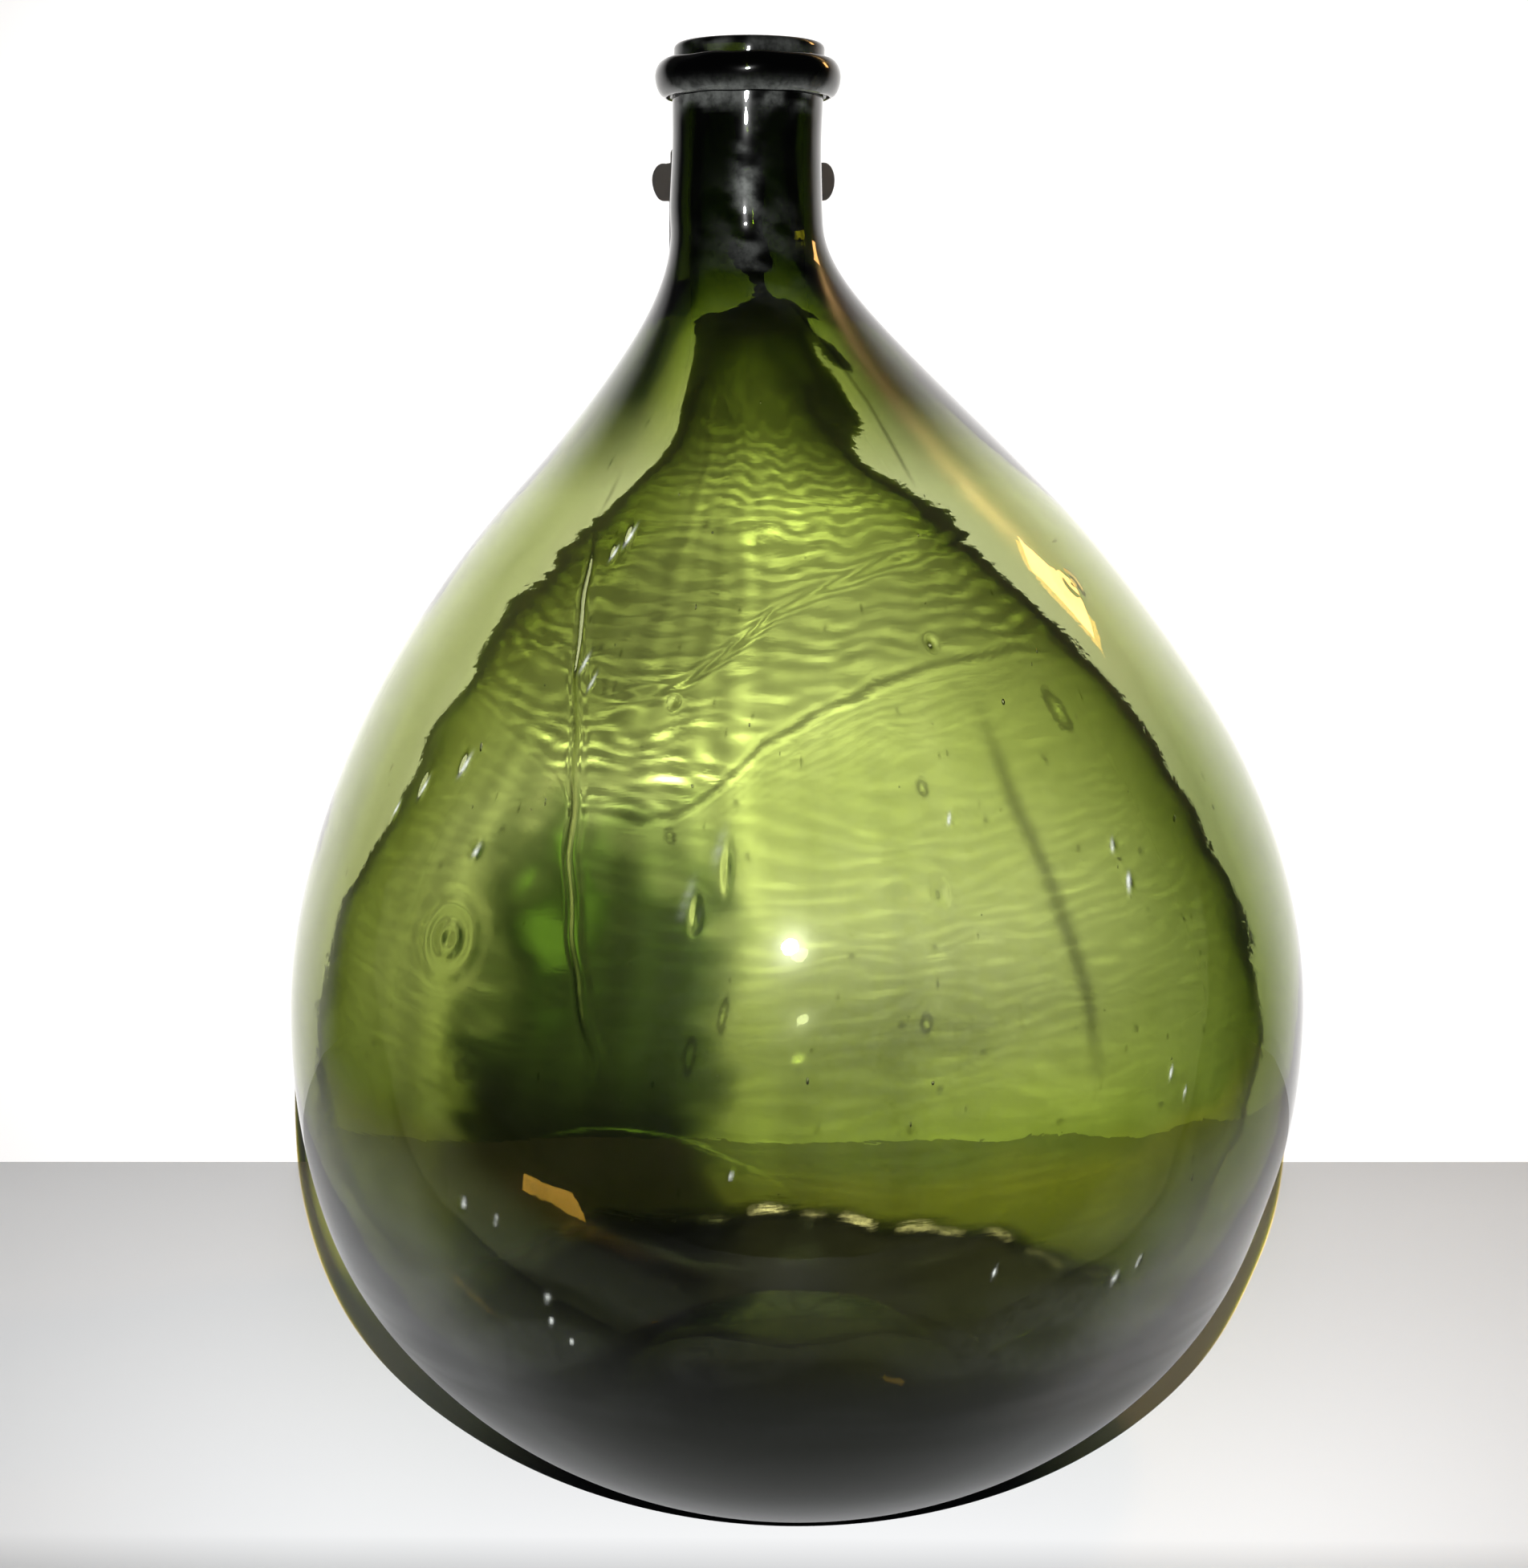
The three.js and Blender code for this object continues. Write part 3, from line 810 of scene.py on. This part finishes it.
body_glass = glass(
    "body_glass",
    [
        (0.0, 0.70),
        (0.10, 0.86),
        (0.30, 0.98),
        (0.74, 1.0),
        (0.79, (0.62, 0.68, 0.40)),
        (0.84, (0.16, 0.20, 0.06)),
        (0.97, (0.04, 0.055, 0.015)),
    ],
    [(0.0, 0.6), (0.10, 0.9), (0.25, 1.0), (0.66, 1.0), (0.74, 1.2), (0.83, 1.0), (0.90, 0.10)],
)
ring_glass = glass(
    "ring_glass",
    [(0.0, (0.10, 0.13, 0.05)), (1.0, (0.04, 0.055, 0.02))],
    [(0.0, (0.03, 0.01, 0.01)), (1.0, (0.03, 0.01, 0.01))],
)

blown = glass_body(body_glass)
ring = lip_ring(ring_glass)
for made, node, slot in ((blown, "glass_body", "body_glass"), (ring, "lip_ring", "ring_glass")):
    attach(made, "root")
    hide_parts(node)


# Table, wall and room, in metres
WALL_BEHIND = 0.317
WALL_TURN = math.tan(math.radians(0.7))
WALL_REACH = 3
TABLE_REACH = 6
TABLE_FRONT = -0.34
# The table lies a hair lower than the glass that stands on it
TABLE_TOP = -0.0003
# Painted shade makes it darker in front of the picture's lower border, from this far forward
DARK_FRONT = 0.35


def plain_face(name, corners, material):
    made = mesh_object(name, np.array(corners, float), [np.array([[0, 1, 2, 3]])], material)
    return made


def paint(name, colour, roughness, one_sided=False, fades=False):
    """Plain paint; one_sided is clear from behind, and fades has painted shade in front."""
    material, n = new_material(name)
    place = n.add("ShaderNodeTexCoord").outputs["Object"]
    cloud = n.noise(place, 3, 3, 0.5)
    shade = n.mix(cloud, (*[c * 0.985 for c in colour], 1), (*colour, 1))
    if fades:
        forward = n.add("ShaderNodeSeparateXYZ", {"Vector": place}).outputs["Y"]
        forward = n.math("ADD", forward, DARK_FRONT, clamp=True)
        shadow = n.ramp(forward, (0.0, 0.02), (0.14, 0.06), (0.21, 0.28), (0.262, 0.82), (0.60, 1.0))
        shade = n.mix(1.0, shade, shadow, "MULTIPLY")
    body = n.add(
        "ShaderNodeBsdfPrincipled",
        {"Base Color": shade, "Roughness": roughness, "Specular IOR Level": 0.3},
    )
    out = n.add("ShaderNodeOutputMaterial")
    surface = body.outputs[0]
    if one_sided:
        clear = n.add("ShaderNodeBsdfTransparent")
        back = n.add("ShaderNodeNewGeometry").outputs["Backfacing"]
        surface = n.add("ShaderNodeMixShader", {0: back, 1: surface, 2: clear.outputs[0]}).outputs[0]
    n.tree.links.new(surface, out.inputs["Surface"])
    return material


plain_face(
    "table",
    [
        (-TABLE_REACH, TABLE_FRONT, TABLE_TOP),
        (TABLE_REACH, TABLE_FRONT, TABLE_TOP),
        (TABLE_REACH, TABLE_REACH, TABLE_TOP),
        (-TABLE_REACH, TABLE_REACH, TABLE_TOP),
    ],
    paint("table_paint", (0.86, 0.88, 0.91), 0.5, fades=True),
)
wall = plain_face(
    "backdrop",
    [
        (-WALL_REACH, WALL_BEHIND - WALL_REACH * WALL_TURN, TABLE_TOP),
        (WALL_REACH, WALL_BEHIND + WALL_REACH * WALL_TURN, TABLE_TOP),
        (WALL_REACH, WALL_BEHIND + WALL_REACH * WALL_TURN, WALL_REACH),
        (-WALL_REACH, WALL_BEHIND - WALL_REACH * WALL_TURN, WALL_REACH),
    ],
    paint("wall_paint", (0.86, 0.86, 0.87), 0.8, one_sided=True),
)
wall.visible_shadow = False

world = bpy.context.scene.world or bpy.data.worlds.new("room")
bpy.context.scene.world = world
world.use_nodes = True
n = Nodes(world.node_tree)
path = n.add("ShaderNodeLightPath")
direct = n.math(
    "MULTIPLY",
    n.math("LESS_THAN", path.outputs["Glossy Depth"], 0.5),
    n.math("LESS_THAN", path.outputs["Diffuse Depth"], 0.5),
)
seen = n.math("MAXIMUM", path.outputs["Is Camera Ray"], path.outputs["Is Transmission Ray"])
seen = n.math("MULTIPLY", seen, direct)
dim = n.add("ShaderNodeBackground", {"Color": (0.9, 0.95, 1.0, 1), "Strength": 0.02})
pale = n.add("ShaderNodeBackground", {"Color": (0.93, 0.94, 0.96, 1), "Strength": 0.92})
both = n.add("ShaderNodeMixShader", {0: seen, 1: dim.outputs[0], 2: pale.outputs[0]})
out = n.add("ShaderNodeOutputWorld")
n.tree.links.new(both.outputs[0], out.inputs["Surface"])


# Lamps
def lamp(name, kind, place, power, colour=(1, 1, 1), aim=None, **settings):
    data = bpy.data.lights.new(name, kind)
    data.energy = power
    data.color = colour
    for key, value in settings.items():
        setattr(data, key, value)
    made = bpy.data.objects.new(name, data)
    bpy.context.scene.collection.objects.link(made)
    made.location = place
    if aim is not None:
        heading = np.array(aim, float) - np.array(place, float)
        made.rotation_mode = "QUATERNION"
        made.rotation_quaternion = Vector(heading).to_track_quat("-Z", "Y")
    made.visible_camera = False
    return made


def only_lights(made):
    """Leaves a lamp out of what the glass mirrors and shows through."""
    made.visible_glossy = False
    made.visible_transmission = False


# The flash above the camera throws the bottle's shadow, and its face is what the glass mirrors
flash = lamp(
    "flash",
    "SPOT",
    (0.007, -0.92, 0.502),
    103,
    (1.0, 0.985, 0.96),
    aim=(0.005, 0.317, 0.185),
    shadow_soft_size=0.0008,
    spot_size=math.radians(70),
    spot_blend=0.85,
)
only_lights(flash)
glare = lamp(
    "flash_face",
    "AREA",
    (-0.012, -0.90, 0.507),
    9,
    aim=(0, 0, 0.2),
    shape="ELLIPSE",
    size=0.055,
    size_y=0.045,
)
glare.visible_diffuse = False
soft = lamp(
    "soft_fill",
    "AREA",
    (-0.3, -1.3, 2.0),
    2,
    (0.95, 0.98, 1.0),
    aim=(0, 0.1, 0.2),
    shape="SQUARE",
    size=1.6,
)
only_lights(soft)
# A warm lamp of the room, on the right, mirrored in the shoulder
warm = lamp(
    "warm_lamp",
    "AREA",
    (0.56, 0.25, 0.70),
    0.6,
    (1.0, 0.50, 0.15),
    aim=(0.05, -0.05, 0.3),
    shape="RECTANGLE",
    size=0.08,
    size_y=0.15,
)
warm.visible_diffuse = False
glow = lamp("warm_glow", "POINT", (0.56, 0.20, 0.92), 3.0, (1.0, 0.60, 0.22), shadow_soft_size=0.06)
only_lights(glow)

# Camera and picture
camera_data = bpy.data.cameras.new("camera")
camera_data.lens = 58.51
camera_data.sensor_width = 36
camera = bpy.data.objects.new("camera", camera_data)
bpy.context.scene.collection.objects.link(camera)
camera.location = (0, -0.875, 0.3754)
camera.rotation_euler = (math.radians(90 - 9.06), 0, 0.0126)
bpy.context.scene.camera = camera
scene = bpy.context.scene
scene.view_settings.view_transform = "Standard"
scene.view_settings.look = "None"
scene.cycles.max_bounces = 20
scene.cycles.diffuse_bounces = 0
scene.cycles.transmission_bounces = 20
scene.cycles.glossy_bounces = 8
scene.cycles.transparent_max_bounces = 24
